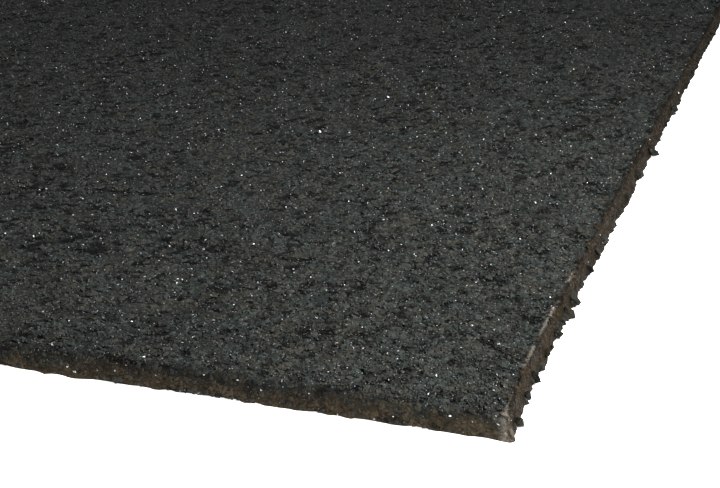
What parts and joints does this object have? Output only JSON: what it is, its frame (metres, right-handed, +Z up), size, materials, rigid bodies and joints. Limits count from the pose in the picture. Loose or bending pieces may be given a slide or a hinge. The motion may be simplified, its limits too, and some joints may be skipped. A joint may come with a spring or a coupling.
{
  "type": "anti-slip mat",
  "caption": "Square sheet of bound rubber granulate laid flat under a load, a machine or a pallet to stop it sliding.",
  "frame": {"origin": "middle of the underside, on the surface that the mat lies on", "axes": "+X along the front edge to the right, +Y along the side edges away from the front, +Z up through the thickness"},
  "size_m": [0.6, 0.6, 0.008],
  "materials": {
    "rubber_granulate": "matte, fine black granules with pores, browner on the cut faces"
  },
  "bodies": {
    "root": {"mat": "rubber_granulate"}
  },
  "joints": []
}
